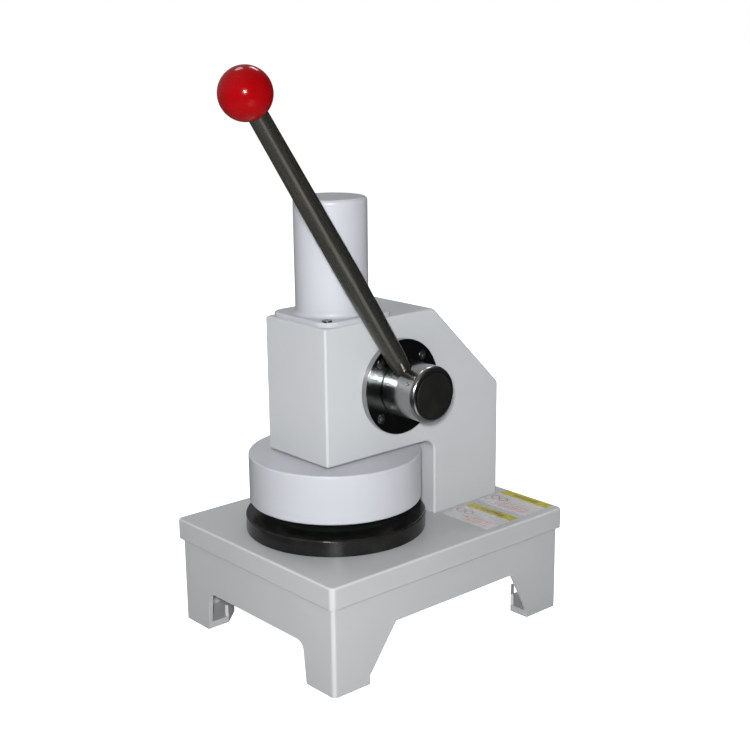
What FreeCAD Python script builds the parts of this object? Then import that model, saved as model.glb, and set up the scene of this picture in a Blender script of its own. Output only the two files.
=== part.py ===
import FreeCAD, Part
import math
import os

# A bench press that cuts round samples, worked by a hand lever. A rack and pinion in the arm
# drives the ram and its drum-shaped head down onto a round anvil on a four-legged table.
# Millimetres, +Z up. The origin is on the floor, midway between the knob's front and the
# table's back, on the ram's centre plane. +X is the lever's side and -Y is the front.

# Table
TABLE_WIDTH = 240.0
TABLE_LENGTH = 300.0
TABLE_CENTRE_Y = 28.0
TABLE_TOP_Z = 106.0
TABLE_LIP = 21.0
TABLE_PLATE = 10.0
TABLE_CORNER_R = 5.5
TABLE_EDGE_R = 2.2
SKIRT_INSET = 3.6
SKIRT_WALL = 4.0
SKIRT_CORNER_R = 4.0
SKIRT_INSIDE_R = 1.5
END_OPENING_FOOT = 77.0
END_OPENING_HEAD = 73.0
END_OPENING_HEIGHT = 40.0
SIDE_OPENING_HEIGHT = 52.0
SIDE_OPENING_STEP = 9.0
SIDE_FRONT_FOOT = -104.4
SIDE_FRONT_HEAD = -72.5
SIDE_REAR_HEAD = 81.0
SIDE_REAR_FOOT = 103.5
END_OPENING_CORNER_R = 9.0
SIDE_OPENING_CORNER_R = 2.0
OPENING_FLOOR = -1.0
SHOE_END_X = 77.3
SHOE_END_Y = 103.2
SHOE_DEPTH_X = 18.0
SHOE_DEPTH_Y = 20.0
SHOE_SOLE = 6.5
SHOE_PLATE_HEIGHT = 18.0
SHOE_PLATE = 3.0
BLOCK_SIZE = 24.0
BLOCK_CORNER_R = 4.0
BLOCK_BOTTOM_Z = 72.0

# Arm and column
ARM_HALF_WIDTH = 44.0
ARM_FRONT_Y = -62.0
ARM_BOTTOM_Z = 182.5
ARM_TOP_Z = 312.5
COLUMN_FRONT_Y = 73.2
COLUMN_BACK_Y = 162.0
SLOPE_TOP_Y = 73.0
SLOPE_FOOT_Z = 225.0
THROAT_R = 12.0
SLOPE_FOOT_R = 6.0
ARM_EDGE_R = 2.2
CAVITY_HALF_WIDTH = 30.0
CAVITY_FRONT_Y = 90.0
CAVITY_BACK_Y = 146.0
CAVITY_TOP_Z = 205.0
COLUMN_BOLT_X = 34.0
COLUMN_BOLT_FRONT_Y = 82.5
COLUMN_BOLT_BACK_Y = 152.5

# Ram, rack and pinion
RAM_Y = -17.0
RAM_R = 29.0
RAM_TOP_Z = 300.0
RAM_FIT = 0.05
RAM_BUSH_R = 33.0
RAM_BORE_R = 31.0
LOWER_BUSH_TOP_Z = 222.0
UPPER_BUSH_BOTTOM_Z = 282.0
HUB_Y = 26.0
HUB_Z = 245.3
MODULE = 1.5
PINION_TEETH = 22
PRESSURE_ANGLE = math.radians(20.0)
BACKLASH = 0.16
ADDENDUM = MODULE
DEDENDUM = 1.25 * MODULE
PITCH_R = MODULE * PINION_TEETH / 2.0
PINION_HALF_WIDTH = 13.0
RACK_PITCH_LINE = HUB_Y - RAM_Y - PITCH_R
RACK_SPACES_BELOW = 3
RACK_SPACES_ABOVE = 5
PINION_BORE_R = 19.0
SHAFT_R = 12.0
SHAFT_FIT = 0.05
SHAFT_LEFT_X = -36.0
SHAFT_RIGHT_X = 77.5
INNER_BUSH_RIGHT_X = -20.0
SPIGOT_LEFT_X = 20.0

# Spindle and return spring
SPINDLE_R = 8.0
SPINDLE_TOP_Z = 412.0
SEAT_R = 31.0
SEAT_THICKNESS = 4.0
SPRING_MEAN_R = 17.5
SPRING_WIRE_R = 1.6
SPRING_COILS = 6.5
COLLAR_R = 21.0
COLLAR_BOTTOM_Z = 392.0
COLLAR_TOP_Z = 398.0
NUT_ACROSS_FLATS = 24.0
NUT_HEIGHT = 6.0

# Top cover
COVER_R = 34.2
COVER_WALL = 2.5
COVER_TOP_Z = 423.6
COVER_FLANGE = 85.0
COVER_FLANGE_CORNER_R = 15.0
COVER_FLANGE_THICKNESS = 4.5
COVER_FILLET_R = 4.0
COVER_CROWN_R = 3.5
COVER_CROWN = 3.6
COVER_SCREW_OFFSET = 34.5
COVER_SCREW_SINK = 1.1

# Bearing flange, hub and lever
FLANGE_R = 45.7
FLANGE_FACE_X = 50.0
FLANGE_SCREW_R = 37.5
FLANGE_SCREW_SINK = 0.3
BUSH_WALL_R = 16.5
THRUST_WASHER = 0.5
THRUST_WASHER_R = 20.0
HUB_R = 27.0
HUB_INNER_X = FLANGE_FACE_X + THRUST_WASHER + 0.1
HUB_FACE_X = 93.0
HUB_END_R = 5.0
HUB_COUNTERBORE_R = 17.0
HUB_SCREW_CLEARANCE = 0.5
HUB_WASHER = 2.0
HUB_WASHER_R = 15.0
PLUG_R = 21.6
PLUG_BACK_X = 86.0
PLUG_PROUD = 0.4
KEY_LEFT_X = 54.0
KEY_RIGHT_X = 74.0
KEY_WIDTH = 6.0
KEY_SEAT_R = SHAFT_R - 3.5
KEY_TOP_R = SHAFT_R + 2.5
LEVER_X = 65.6
LEVER_LENGTH = 331.0
LEVER_LEAN = math.radians(33.25)
LEVER_TIP_R = 7.5
LEVER_ROOT_R = 9.4
LEVER_BELLY_R = 10.5
LEVER_NECK_R = 8.8
KNOB_R = 22.5
KNOB_FLAT = 20.0
LEVER_FOOT_R = 14.0
LEVER_POCKET_R = 10.4
LEVER_STUD_R = 4.0
LEVER_STUD = 18.0
INSERT_R = 7.0
INSERT_LENGTH = 21.0
SET_SCREW_X = 83.0
SET_SCREW_R = 2.5
SET_SCREW_TIP_R = 18.0
SET_SCREW_ANGLE = math.radians(62.0)

# Head, knife and ejector
HEAD_R = 82.5
HEAD_BOTTOM_Z = 135.0
HEAD_TOP_Z = 182.0
HEAD_CEILING_Z = 167.0
HEAD_CAVITY_R = 70.0
HEAD_EDGE_R = 1.8
SPIGOT_R = 20.0
SPIGOT_BOTTOM_Z = 169.5
KNIFE_INNER_R = 56.4
KNIFE_EDGE_Z = 134.6
KNIFE_SHOULDER_Z = 143.7
KNIFE_SLEEVE_INNER_R = 59.0
KNIFE_SLEEVE_OUTER_R = 62.5
HOLDER_BOTTOM_Z = 146.0
HOLDER_OUTER_R = 69.8
EJECTOR_R = 55.8
EJECTOR_FLANGE_R = 58.5
EJECTOR_BOTTOM_Z = 139.0
EJECTOR_FLANGE_Z = 144.0
EJECTOR_TOP_Z = 147.0
EJECTOR_PIN_R = 3.0
EJECTOR_PIN_CIRCLE_R = 38.0
EJECTOR_PIN_TOP_Z = 172.0
EJECTOR_BORE_TOP_Z = 179.5
KNIFE_SCREW_CIRCLE_R = 66.2

# Anvil
ANVIL_R = 86.7
ANVIL_TOP_Z = 122.0
ANVIL_EDGE_R = 1.5
MAT_R = 64.0
MAT_THICKNESS = 3.0
ANVIL_SCREW_CIRCLE_R = 40.0

# Labels on the table's right rear corner: low x, high x, low y, high y
LABELS = {"front": (50.0, 111.0, 78.0, 123.0), "rear": (47.0, 110.0, 131.0, 175.0)}
LABEL_THICKNESS = 0.25

# Fasteners: shank radius, head radius, head height, socket radius
M5 = (2.5, 4.4, 4.6, 2.2)
M5_SMALL = (2.5, 3.5, 3.0, 1.6)
M5_BUTTON = (2.5, 4.6, 2.6, 1.8)
M6 = (3.0, 5.0, 6.0, 2.9)
M8 = (4.0, 6.5, 8.0, 3.4)
M8_LOW = (4.0, 6.5, 5.0, 2.9)
M12 = (6.0, 9.0, 9.0, 5.7)

UP = FreeCAD.Vector(0, 0, 1)
DOWN = FreeCAD.Vector(0, 0, -1)
RIGHT = FreeCAD.Vector(1, 0, 0)
LEFT = FreeCAD.Vector(-1, 0, 0)
LEVER_WAY = FreeCAD.Vector(0, -math.sin(LEVER_LEAN), math.cos(LEVER_LEAN))
LEVER_ROOT = FreeCAD.Vector(LEVER_X, HUB_Y, HUB_Z)
CORNERS = ((-1, -1), (1, -1), (1, 1), (-1, 1))


# ---- Shape helpers ----

def in_plan(a, b):
    return FreeCAD.Vector(a, b, 0)


def in_side_view(a, b):
    return FreeCAD.Vector(0, a, b)


def in_front_view(a, b):
    return FreeCAD.Vector(a, 0, b)


def corner_arc(before, corner, after, radius):
    """The start, middle and end of the arc that rounds one corner of an outline."""
    bx, by = before[0] - corner[0], before[1] - corner[1]
    ax, ay = after[0] - corner[0], after[1] - corner[1]
    b_len = math.hypot(bx, by)
    a_len = math.hypot(ax, ay)
    bx, by, ax, ay = bx / b_len, by / b_len, ax / a_len, ay / a_len
    half = math.acos(max(-1.0, min(1.0, bx * ax + by * ay))) / 2.0
    reach = radius / math.tan(half)
    start = (corner[0] + bx * reach, corner[1] + by * reach)
    end = (corner[0] + ax * reach, corner[1] + ay * reach)
    mid_x, mid_y = bx + ax, by + ay
    mid_len = math.hypot(mid_x, mid_y)
    depth = radius / math.sin(half) - radius
    middle = (corner[0] + mid_x / mid_len * depth, corner[1] + mid_y / mid_len * depth)
    return start, middle, end


def outline_face(corners, to_space):
    """A flat face from corners (a, b) or (a, b, radius), rounded where a radius is given."""
    edges = []
    ends = []
    count = len(corners)
    for i, corner in enumerate(corners):
        radius = corner[2] if len(corner) > 2 else 0.0
        if radius <= 0.0:
            ends.append((corner[:2], corner[:2]))
            continue
        start, middle, end = corner_arc(corners[i - 1], corner, corners[(i + 1) % count], radius)
        arc = Part.Arc(to_space(*start), to_space(*middle), to_space(*end))
        edges.append(arc.toShape())
        ends.append((start, end))
    for i in range(count):
        here = to_space(*ends[i][1])
        there = to_space(*ends[(i + 1) % count][0])
        if here.distanceToPoint(there) > 1e-6:
            edges.append(Part.makeLine(here, there))
    wire = Part.Wire(Part.__sortEdges__(edges))
    return Part.Face(wire)


def turned(profile, base=FreeCAD.Vector(0, 0, 0), way=UP):
    """A solid of revolution from corners (radius, height), standing on base and facing way."""
    solid = outline_face(profile, in_front_view).revolve(FreeCAD.Vector(0, 0, 0), UP, 360.0)
    solid = Part.makeSolid(solid) if solid.ShapeType == "Shell" else solid
    solid.Placement = FreeCAD.Placement(base, FreeCAD.Rotation(UP, way))
    return solid


def post(radius, low, high, x=0.0, y=RAM_Y):
    return Part.makeCylinder(radius, high - low, FreeCAD.Vector(x, y, low), UP)


def cross_rod(radius, left, right, y=HUB_Y, z=HUB_Z):
    return Part.makeCylinder(radius, right - left, FreeCAD.Vector(left, y, z), RIGHT)


def tube(outer, inner, low, high, x=0.0, y=RAM_Y):
    return post(outer, low, high, x, y).cut(post(inner, low - 1.0, high + 1.0, x, y))


def cross_tube(outer, inner, left, right):
    return cross_rod(outer, left, right).cut(cross_rod(inner, left - 1.0, right + 1.0))


def rounded_block(half_x, half_y, low, high, radius, y=TABLE_CENTRE_Y):
    corners = [(sx * half_x, y + sy * half_y, radius) for sx, sy in CORNERS]
    return outline_face(corners, in_plan).extrude(UP * (high - low)).translated(UP * low)


def box(low, high):
    size = [high[i] - low[i] for i in range(3)]
    return Part.makeBox(size[0], size[1], size[2], FreeCAD.Vector(*low))


def hexagon(across_flats, height, base, way):
    radius = across_flats / math.sqrt(3.0)
    points = [in_plan(radius * math.cos(i * math.pi / 3), radius * math.sin(i * math.pi / 3))
              for i in range(7)]
    solid = Part.Face(Part.makePolygon(points)).extrude(UP * height)
    solid.Placement = FreeCAD.Placement(base, FreeCAD.Rotation(UP, way))
    return solid


def socket_screw(size, length, seat, way):
    """A socket-head screw: its head stands on seat against way, and its shank runs along way."""
    shank_r, head_r, head_height, socket_r = size
    edge = 0.12 * head_r
    profile = [(0, -head_height), (head_r, -head_height, edge), (head_r, 0), (shank_r, 0),
               (shank_r, length - 0.5), (shank_r - 0.5, length), (0, length)]
    screw = turned(profile, seat, way)
    socket = hexagon(socket_r * math.sqrt(3.0), head_height * 0.55, seat - way * head_height, way)
    return screw.cut(socket)


def coil(mean_r, wire_r, low, high, turns, x, y):
    """A compression spring whose round wire just touches the planes low and high."""
    height = high - low - 2.2 * wire_r
    helix = Part.makeHelix(height / turns, height, mean_r)
    wire = Part.Wire(Part.makeCircle(wire_r, FreeCAD.Vector(mean_r, 0, 0), FreeCAD.Vector(0, 1, 0)))
    spring = Part.Wire(helix).makePipeShell([wire], True, True)
    return spring.translated(FreeCAD.Vector(x, y, low + 1.1 * wire_r))


def on_circle(count, radius, start=0.0):
    """Places (x, y) spread evenly on a circle about the ram's axis."""
    places = []
    for i in range(count):
        angle = math.radians(start) + 2 * math.pi * i / count
        places.append((radius * math.cos(angle), RAM_Y + radius * math.sin(angle)))
    return places


def joined(shapes):
    return shapes[0].fuse(shapes[1:]).removeSplitter()


def edges_where(shape, test):
    return [edge for edge in shape.Edges if test(edge.BoundBox)]


# ---- Table ----

def skirt_half_sizes():
    return TABLE_WIDTH / 2 - SKIRT_INSET, TABLE_LENGTH / 2 - SKIRT_INSET


def lip_bottom():
    return TABLE_TOP_Z - TABLE_LIP


def plate_underside():
    return TABLE_TOP_Z - TABLE_PLATE


def block_places():
    half_x, half_y = skirt_half_sizes()
    reach = SKIRT_WALL + BLOCK_SIZE / 2
    return [(sx * (half_x - reach), TABLE_CENTRE_Y + sy * (half_y - reach)) for sx, sy in CORNERS]


def column_bolt_places():
    return [(sx * COLUMN_BOLT_X, y) for sx in (-1, 1)
            for y in (COLUMN_BOLT_FRONT_Y, COLUMN_BOLT_BACK_Y)]


def table_top():
    half_x, half_y = skirt_half_sizes()
    top = rounded_block(TABLE_WIDTH / 2, TABLE_LENGTH / 2, lip_bottom(), TABLE_TOP_Z, TABLE_CORNER_R)
    rim = edges_where(top, lambda b: b.ZMin > TABLE_TOP_Z - 0.01)
    top = top.makeFillet(TABLE_EDGE_R, rim)
    foot = edges_where(top, lambda b: b.ZMax < lip_bottom() + 0.01)
    top = top.makeFillet(1.0, foot)
    top = top.cut(rounded_block(half_x - SKIRT_WALL, half_y - SKIRT_WALL, lip_bottom() - 1.0,
                                plate_underside(), SKIRT_INSIDE_R))
    for x, y in block_places():
        top = top.cut(post(M6[0], plate_underside() - 1.0, TABLE_TOP_Z - 3.0, x, y))
    for x, y in column_bolt_places():
        top = top.cut(post(M8[0], plate_underside() - 1.0, TABLE_TOP_Z + 1.0, x, y))
    for x, y in on_circle(3, ANVIL_SCREW_CIRCLE_R, 90.0):
        top = top.cut(post(M6[0], plate_underside() - 1.0, TABLE_TOP_Z + 1.0, x, y))
    return top


def end_opening():
    """The cut through the front and back of the skirt, between the legs."""
    half_y = TABLE_LENGTH / 2 + 10.0
    corners = [(-END_OPENING_FOOT, OPENING_FLOOR), (END_OPENING_FOOT, OPENING_FLOOR),
               (END_OPENING_HEAD, END_OPENING_HEIGHT, END_OPENING_CORNER_R),
               (-END_OPENING_HEAD, END_OPENING_HEIGHT, END_OPENING_CORNER_R)]
    cutter = outline_face(corners, in_front_view).extrude(FreeCAD.Vector(0, 2 * half_y, 0))
    return cutter.translated(FreeCAD.Vector(0, TABLE_CENTRE_Y - half_y, 0))


def side_opening():
    """The cut through both sides of the skirt, with its sloping ends."""
    half_x = TABLE_WIDTH / 2 + 10.0
    y = TABLE_CENTRE_Y
    corners = [(y + SIDE_FRONT_FOOT, OPENING_FLOOR), (y + SIDE_REAR_FOOT, OPENING_FLOOR),
               (y + SIDE_REAR_FOOT, SIDE_OPENING_STEP, 1.0),
               (y + SIDE_REAR_HEAD, SIDE_OPENING_HEIGHT, SIDE_OPENING_CORNER_R),
               (y + SIDE_FRONT_HEAD, SIDE_OPENING_HEIGHT, SIDE_OPENING_CORNER_R),
               (y + SIDE_FRONT_FOOT, SIDE_OPENING_STEP, 1.0)]
    cutter = outline_face(corners, in_side_view).extrude(FreeCAD.Vector(2 * half_x, 0, 0))
    return cutter.translated(FreeCAD.Vector(-half_x, 0, 0))


def table_skirt():
    half_x, half_y = skirt_half_sizes()
    skirt = rounded_block(half_x, half_y, 0.0, lip_bottom(), SKIRT_CORNER_R)
    skirt = skirt.cut(rounded_block(half_x - SKIRT_WALL, half_y - SKIRT_WALL, -1.0,
                                    lip_bottom() + 1.0, SKIRT_INSIDE_R))
    return skirt.cut(end_opening()).cut(side_opening())


def leg_shoe(sx, sy):
    """The foot in one corner of the skirt: a thick sole with an upright plate on its inner side."""
    half_x, half_y = skirt_half_sizes()
    wall_x, wall_y = half_x - SKIRT_WALL, half_y - SKIRT_WALL
    end_side = (SHOE_END_X, wall_y - SHOE_DEPTH_Y)
    side_end = (wall_x - SHOE_DEPTH_X, SHOE_END_Y)
    run_x, run_y = side_end[0] - end_side[0], side_end[1] - end_side[1]
    run = math.hypot(run_x, run_y)
    step = (-run_y / run * SHOE_PLATE, run_x / run * SHOE_PLATE)

    def slab(corners, low, high):
        corners = [(sx * c[0], TABLE_CENTRE_Y + sy * c[1]) + c[2:] for c in corners]
        return outline_face(corners, in_plan).extrude(UP * (high - low)).translated(UP * low)

    sole = slab([(wall_x, wall_y, SKIRT_INSIDE_R), (SHOE_END_X, wall_y), end_side, side_end,
                 (wall_x, SHOE_END_Y)], 0.0, SHOE_SOLE)
    plate = slab([end_side, side_end, (side_end[0] + step[0], side_end[1] + step[1]),
                  (end_side[0] + step[0], end_side[1] + step[1])], SHOE_SOLE, SHOE_PLATE_HEIGHT)
    return joined([sole, plate])


def leg_shoes():
    return [leg_shoe(sx, sy) for sx, sy in CORNERS]


def corner_blocks():
    blocks = []
    for x, y in block_places():
        half = BLOCK_SIZE / 2
        block = box((x - half, y - half, BLOCK_BOTTOM_Z), (x + half, y + half, plate_underside()))
        upright = edges_where(block, lambda b: b.ZLength > 5.0)
        block = block.makeFillet(BLOCK_CORNER_R, upright)
        blocks.append(block.cut(post(M6[0], BLOCK_BOTTOM_Z - 1.0, plate_underside() + 1.0, x, y)))
    return blocks


def table_screws():
    length = TABLE_TOP_Z - 4.0 - BLOCK_BOTTOM_Z
    return [socket_screw(M6, length, FreeCAD.Vector(x, y, BLOCK_BOTTOM_Z), UP)
            for x, y in block_places()]


# ---- Arm and column ----

def cover_screw_places():
    """Two opposite corners of the cover's flange."""
    return [(COVER_SCREW_OFFSET, RAM_Y - COVER_SCREW_OFFSET),
            (-COVER_SCREW_OFFSET, RAM_Y + COVER_SCREW_OFFSET)]


def flange_screw_places():
    reach = FLANGE_SCREW_R / math.sqrt(2.0)
    return [(HUB_Y + sx * reach, HUB_Z + sy * reach) for sx, sy in CORNERS]


def body_casting():
    profile = [(ARM_FRONT_Y, ARM_BOTTOM_Z), (COLUMN_FRONT_Y, ARM_BOTTOM_Z, THROAT_R),
               (COLUMN_FRONT_Y, TABLE_TOP_Z), (COLUMN_BACK_Y, TABLE_TOP_Z),
               (COLUMN_BACK_Y, SLOPE_FOOT_Z, SLOPE_FOOT_R), (SLOPE_TOP_Y, ARM_TOP_Z, 1.5),
               (ARM_FRONT_Y, ARM_TOP_Z)]
    body = outline_face(profile, in_side_view).extrude(RIGHT * (2 * ARM_HALF_WIDTH))
    body = body.translated(LEFT * ARM_HALF_WIDTH)
    seat = TABLE_TOP_Z + 0.01
    rounded = edges_where(body, lambda b: b.XLength < 0.01 and b.ZMax > seat)
    rounded += edges_where(body, lambda b: b.XLength > 1.0 and b.YMax < ARM_FRONT_Y + 0.01)
    body = body.makeFillet(ARM_EDGE_R, rounded)
    hollow = box((-CAVITY_HALF_WIDTH, CAVITY_FRONT_Y, TABLE_TOP_Z - 1.0),
                 (CAVITY_HALF_WIDTH, CAVITY_BACK_Y, CAVITY_TOP_Z))
    cuts = [hollow,
            post(RAM_BORE_R, ARM_BOTTOM_Z - 1.0, ARM_TOP_Z + 1.0),
            post(RAM_BUSH_R, ARM_BOTTOM_Z - 1.0, LOWER_BUSH_TOP_Z),
            post(RAM_BUSH_R, UPPER_BUSH_BOTTOM_Z, ARM_TOP_Z + 1.0),
            cross_rod(PINION_BORE_R, SHAFT_LEFT_X - 0.5, ARM_HALF_WIDTH + 1.0)]
    cuts += [post(M8[0], TABLE_TOP_Z - 1.0, TABLE_TOP_Z + 20.0, x, y)
             for x, y in column_bolt_places()]
    cuts += [post(M5_BUTTON[0], ARM_TOP_Z - 14.0, ARM_TOP_Z + 1.0, x, y)
             for x, y in cover_screw_places()]
    cuts += [cross_rod(M5[0], ARM_HALF_WIDTH - 10.0, ARM_HALF_WIDTH + 1.0, y, z)
             for y, z in flange_screw_places()]
    for cutter in cuts:
        body = body.cut(cutter)
    return body


def column_washers():
    return [tube(9.0, M8[0], plate_underside() - 2.0, plate_underside(), x, y)
            for x, y in column_bolt_places()]


def column_bolts():
    seat_z = plate_underside() - 2.0
    length = TABLE_TOP_Z + 18.0 - seat_z
    return [socket_screw(M8, length, FreeCAD.Vector(x, y, seat_z), UP)
            for x, y in column_bolt_places()]


def lower_ram_bush():
    return tube(RAM_BUSH_R, RAM_R + RAM_FIT, ARM_BOTTOM_Z, LOWER_BUSH_TOP_Z)


def upper_ram_bush():
    return tube(RAM_BUSH_R, RAM_R + RAM_FIT, UPPER_BUSH_BOTTOM_Z, ARM_TOP_Z)


# ---- Ram, rack and pinion ----

def rack_space(centre_z):
    """One straight-sided space of the rack, cut right across the ram's back."""
    slope = math.tan(PRESSURE_ANGLE)
    half_pitch_gap = math.pi * MODULE / 4.0 + BACKLASH / 4.0
    mouth = half_pitch_gap + (ADDENDUM + 0.5) * slope
    root = half_pitch_gap - DEDENDUM * slope
    mouth_y = RAM_Y + RACK_PITCH_LINE + ADDENDUM + 0.5
    root_y = RAM_Y + RACK_PITCH_LINE - DEDENDUM
    corners = [(root_y, centre_z - root, 0.3), (mouth_y, centre_z - mouth),
               (mouth_y, centre_z + mouth), (root_y, centre_z + root, 0.3)]
    cutter = outline_face(corners, in_side_view).extrude(RIGHT * (2 * SPIGOT_R))
    return cutter.translated(LEFT * SPIGOT_R)


def ram():
    profile = [(0, SPIGOT_BOTTOM_Z), (SPIGOT_R, SPIGOT_BOTTOM_Z), (SPIGOT_R, HEAD_TOP_Z),
               (RAM_R, HEAD_TOP_Z), (RAM_R, RAM_TOP_Z, 1.5), (0, RAM_TOP_Z)]
    shaft = turned(profile, FreeCAD.Vector(0, RAM_Y, 0))
    pitch = math.pi * MODULE
    low = HUB_Z - (RACK_SPACES_BELOW + 0.6) * pitch
    high = HUB_Z + (RACK_SPACES_ABOVE + 0.6) * pitch
    tip_y = RAM_Y + RACK_PITCH_LINE + ADDENDUM
    shaft = shaft.cut(box((-SPIGOT_R, tip_y, low), (SPIGOT_R, tip_y + 10.0, high)))
    for i in range(-RACK_SPACES_BELOW, RACK_SPACES_ABOVE + 1):
        shaft = shaft.cut(rack_space(HUB_Z + i * pitch))
    shaft = shaft.cut(post(M12[0], SPIGOT_BOTTOM_Z - 1.0, SPIGOT_BOTTOM_Z + 28.0))
    return shaft.cut(post(SPINDLE_R, RAM_TOP_Z - 14.0, RAM_TOP_Z + 1.0))


def ram_spindle():
    profile = [(0, RAM_TOP_Z - 13.0), (SPINDLE_R, RAM_TOP_Z - 13.0), (SPINDLE_R, SPINDLE_TOP_Z, 1.0),
               (0, SPINDLE_TOP_Z)]
    return turned(profile, FreeCAD.Vector(0, RAM_Y, 0))


def involute(angle):
    return math.tan(angle) - angle


def pinion_blank():
    """The toothed part of the pinion, one tooth pointing straight at the rack."""
    base_r = PITCH_R * math.cos(PRESSURE_ANGLE)
    root_r = PITCH_R - DEDENDUM
    tip_r = PITCH_R + ADDENDUM
    half_at_pitch = (math.pi * MODULE / 2 - BACKLASH / 2) / 2 / PITCH_R
    flank_steps = 6

    def half_angle(radius):
        if radius <= base_r:
            return half_at_pitch + involute(PRESSURE_ANGLE)
        return half_at_pitch + involute(PRESSURE_ANGLE) - involute(math.acos(base_r / radius))

    def place(radius, angle):
        return in_side_view(radius * math.cos(angle), radius * math.sin(angle))

    radii = [base_r + (tip_r - base_r) * i / flank_steps for i in range(flank_steps + 1)]
    root_half = half_angle(base_r)
    step = 2 * math.pi / PINION_TEETH
    edges = []
    for tooth in range(PINION_TEETH):
        centre = math.pi + tooth * step
        rising = Part.BSplineCurve()
        rising.interpolate([place(r, centre - half_angle(r)) for r in radii])
        falling = Part.BSplineCurve()
        falling.interpolate([place(r, centre + half_angle(r)) for r in reversed(radii)])
        tip_half = half_angle(tip_r)
        tip = Part.Arc(place(tip_r, centre - tip_half), place(tip_r, centre),
                       place(tip_r, centre + tip_half))
        root_start = centre + root_half
        root_end = centre + step - root_half
        root = Part.Arc(place(root_r, root_start), place(root_r, (root_start + root_end) / 2),
                        place(root_r, root_end))
        edges += [Part.makeLine(place(root_r, centre - root_half), place(base_r, centre - root_half)),
                  rising.toShape(), tip.toShape(), falling.toShape(),
                  Part.makeLine(place(base_r, root_start), place(root_r, root_start)),
                  root.toShape()]
    face = Part.Face(Part.Wire(Part.__sortEdges__(edges)))
    blank = face.extrude(RIGHT * (2 * PINION_HALF_WIDTH))
    return blank.translated(FreeCAD.Vector(-PINION_HALF_WIDTH, HUB_Y, HUB_Z))


def key_block(top_r):
    """A block from the key's seat in the shaft out to top_r, on the side away from the lever."""
    block = box((KEY_LEFT_X, -KEY_WIDTH / 2, -top_r), (KEY_RIGHT_X, KEY_WIDTH / 2, -KEY_SEAT_R))
    lean = FreeCAD.Rotation(RIGHT, math.degrees(LEVER_LEAN))
    block.Placement = FreeCAD.Placement(FreeCAD.Vector(0, HUB_Y, HUB_Z), lean)
    return block


def pinion_shaft():
    length = SHAFT_RIGHT_X - SHAFT_LEFT_X
    profile = [(0, 0), (SHAFT_R, 0, 1.0), (SHAFT_R, length, 1.0), (0, length)]
    shaft = turned(profile, FreeCAD.Vector(SHAFT_LEFT_X, HUB_Y, HUB_Z), RIGHT)
    shaft = joined([shaft, pinion_blank()])
    shaft = shaft.cut(key_block(SHAFT_R + 3.0))
    return shaft.cut(cross_rod(M8[0], SHAFT_RIGHT_X - 18.0, SHAFT_RIGHT_X + 1.0))


def inner_shaft_bush():
    return cross_tube(PINION_BORE_R, SHAFT_R + SHAFT_FIT, SHAFT_LEFT_X, INNER_BUSH_RIGHT_X)


def outer_shaft_bush():
    return cross_tube(BUSH_WALL_R, SHAFT_R + SHAFT_FIT, SPIGOT_LEFT_X, FLANGE_FACE_X)


def bearing_flange():
    back = ARM_HALF_WIDTH - SPIGOT_LEFT_X
    face = FLANGE_FACE_X - SPIGOT_LEFT_X
    profile = [(BUSH_WALL_R, 0), (PINION_BORE_R, 0), (PINION_BORE_R, back), (FLANGE_R, back),
               (FLANGE_R, face, 0.5), (BUSH_WALL_R, face)]
    flange = turned(profile, FreeCAD.Vector(SPIGOT_LEFT_X, HUB_Y, HUB_Z), RIGHT)
    for y, z in flange_screw_places():
        flange = flange.cut(cross_rod(M5[0], ARM_HALF_WIDTH - 1.0, FLANGE_FACE_X + 1.0, y, z))
        seat_x = FLANGE_FACE_X - M5[2] - FLANGE_SCREW_SINK
        flange = flange.cut(cross_rod(M5[1] + 0.5, seat_x, FLANGE_FACE_X + 1.0, y, z))
    return flange


def flange_screws():
    seat_x = FLANGE_FACE_X - M5[2] - FLANGE_SCREW_SINK
    length = seat_x - (ARM_HALF_WIDTH - 9.0)
    return [socket_screw(M5, length, FreeCAD.Vector(seat_x, y, z), LEFT)
            for y, z in flange_screw_places()]


def thrust_washer():
    return cross_tube(THRUST_WASHER_R, SHAFT_R + 0.3, FLANGE_FACE_X, FLANGE_FACE_X + THRUST_WASHER)


# ---- Hub and lever ----

def set_screw_way():
    return FreeCAD.Vector(0, -math.sin(SET_SCREW_ANGLE), math.cos(SET_SCREW_ANGLE))


def set_screw_tip():
    return FreeCAD.Vector(SET_SCREW_X, HUB_Y, HUB_Z) + set_screw_way() * SET_SCREW_TIP_R


def hub():
    end = HUB_FACE_X - HUB_INNER_X
    recess = PLUG_BACK_X - HUB_INNER_X
    bore_end = SHAFT_RIGHT_X + HUB_SCREW_CLEARANCE - HUB_INNER_X
    profile = [(SHAFT_R, 0), (HUB_R, 0, 0.6), (HUB_R, end, HUB_END_R), (PLUG_R, end),
               (PLUG_R, recess), (HUB_COUNTERBORE_R, recess), (HUB_COUNTERBORE_R, bore_end),
               (SHAFT_R, bore_end)]
    barrel = turned(profile, FreeCAD.Vector(HUB_INNER_X, HUB_Y, HUB_Z), RIGHT)
    mouth = HUB_R + 10.0
    pocket = [(0, LEVER_FOOT_R), (LEVER_TIP_R, LEVER_FOOT_R), (LEVER_TIP_R, HUB_R - 2.5),
              (LEVER_POCKET_R, HUB_R + 0.6), (LEVER_POCKET_R, mouth), (0, mouth)]
    barrel = barrel.cut(turned(pocket, LEVER_ROOT, LEVER_WAY))
    barrel = barrel.cut(key_block(KEY_TOP_R))
    return barrel.cut(Part.makeCylinder(SET_SCREW_R, HUB_R, set_screw_tip(), set_screw_way()))


def hub_key():
    return key_block(KEY_TOP_R)


def hub_set_screw():
    length = HUB_R - SET_SCREW_TIP_R - 0.6
    screw = Part.makeCylinder(SET_SCREW_R, length, set_screw_tip(), set_screw_way())
    socket_base = set_screw_tip() + set_screw_way() * (length - 2.0)
    return screw.cut(hexagon(SET_SCREW_R, 3.0, socket_base, set_screw_way()))


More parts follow.
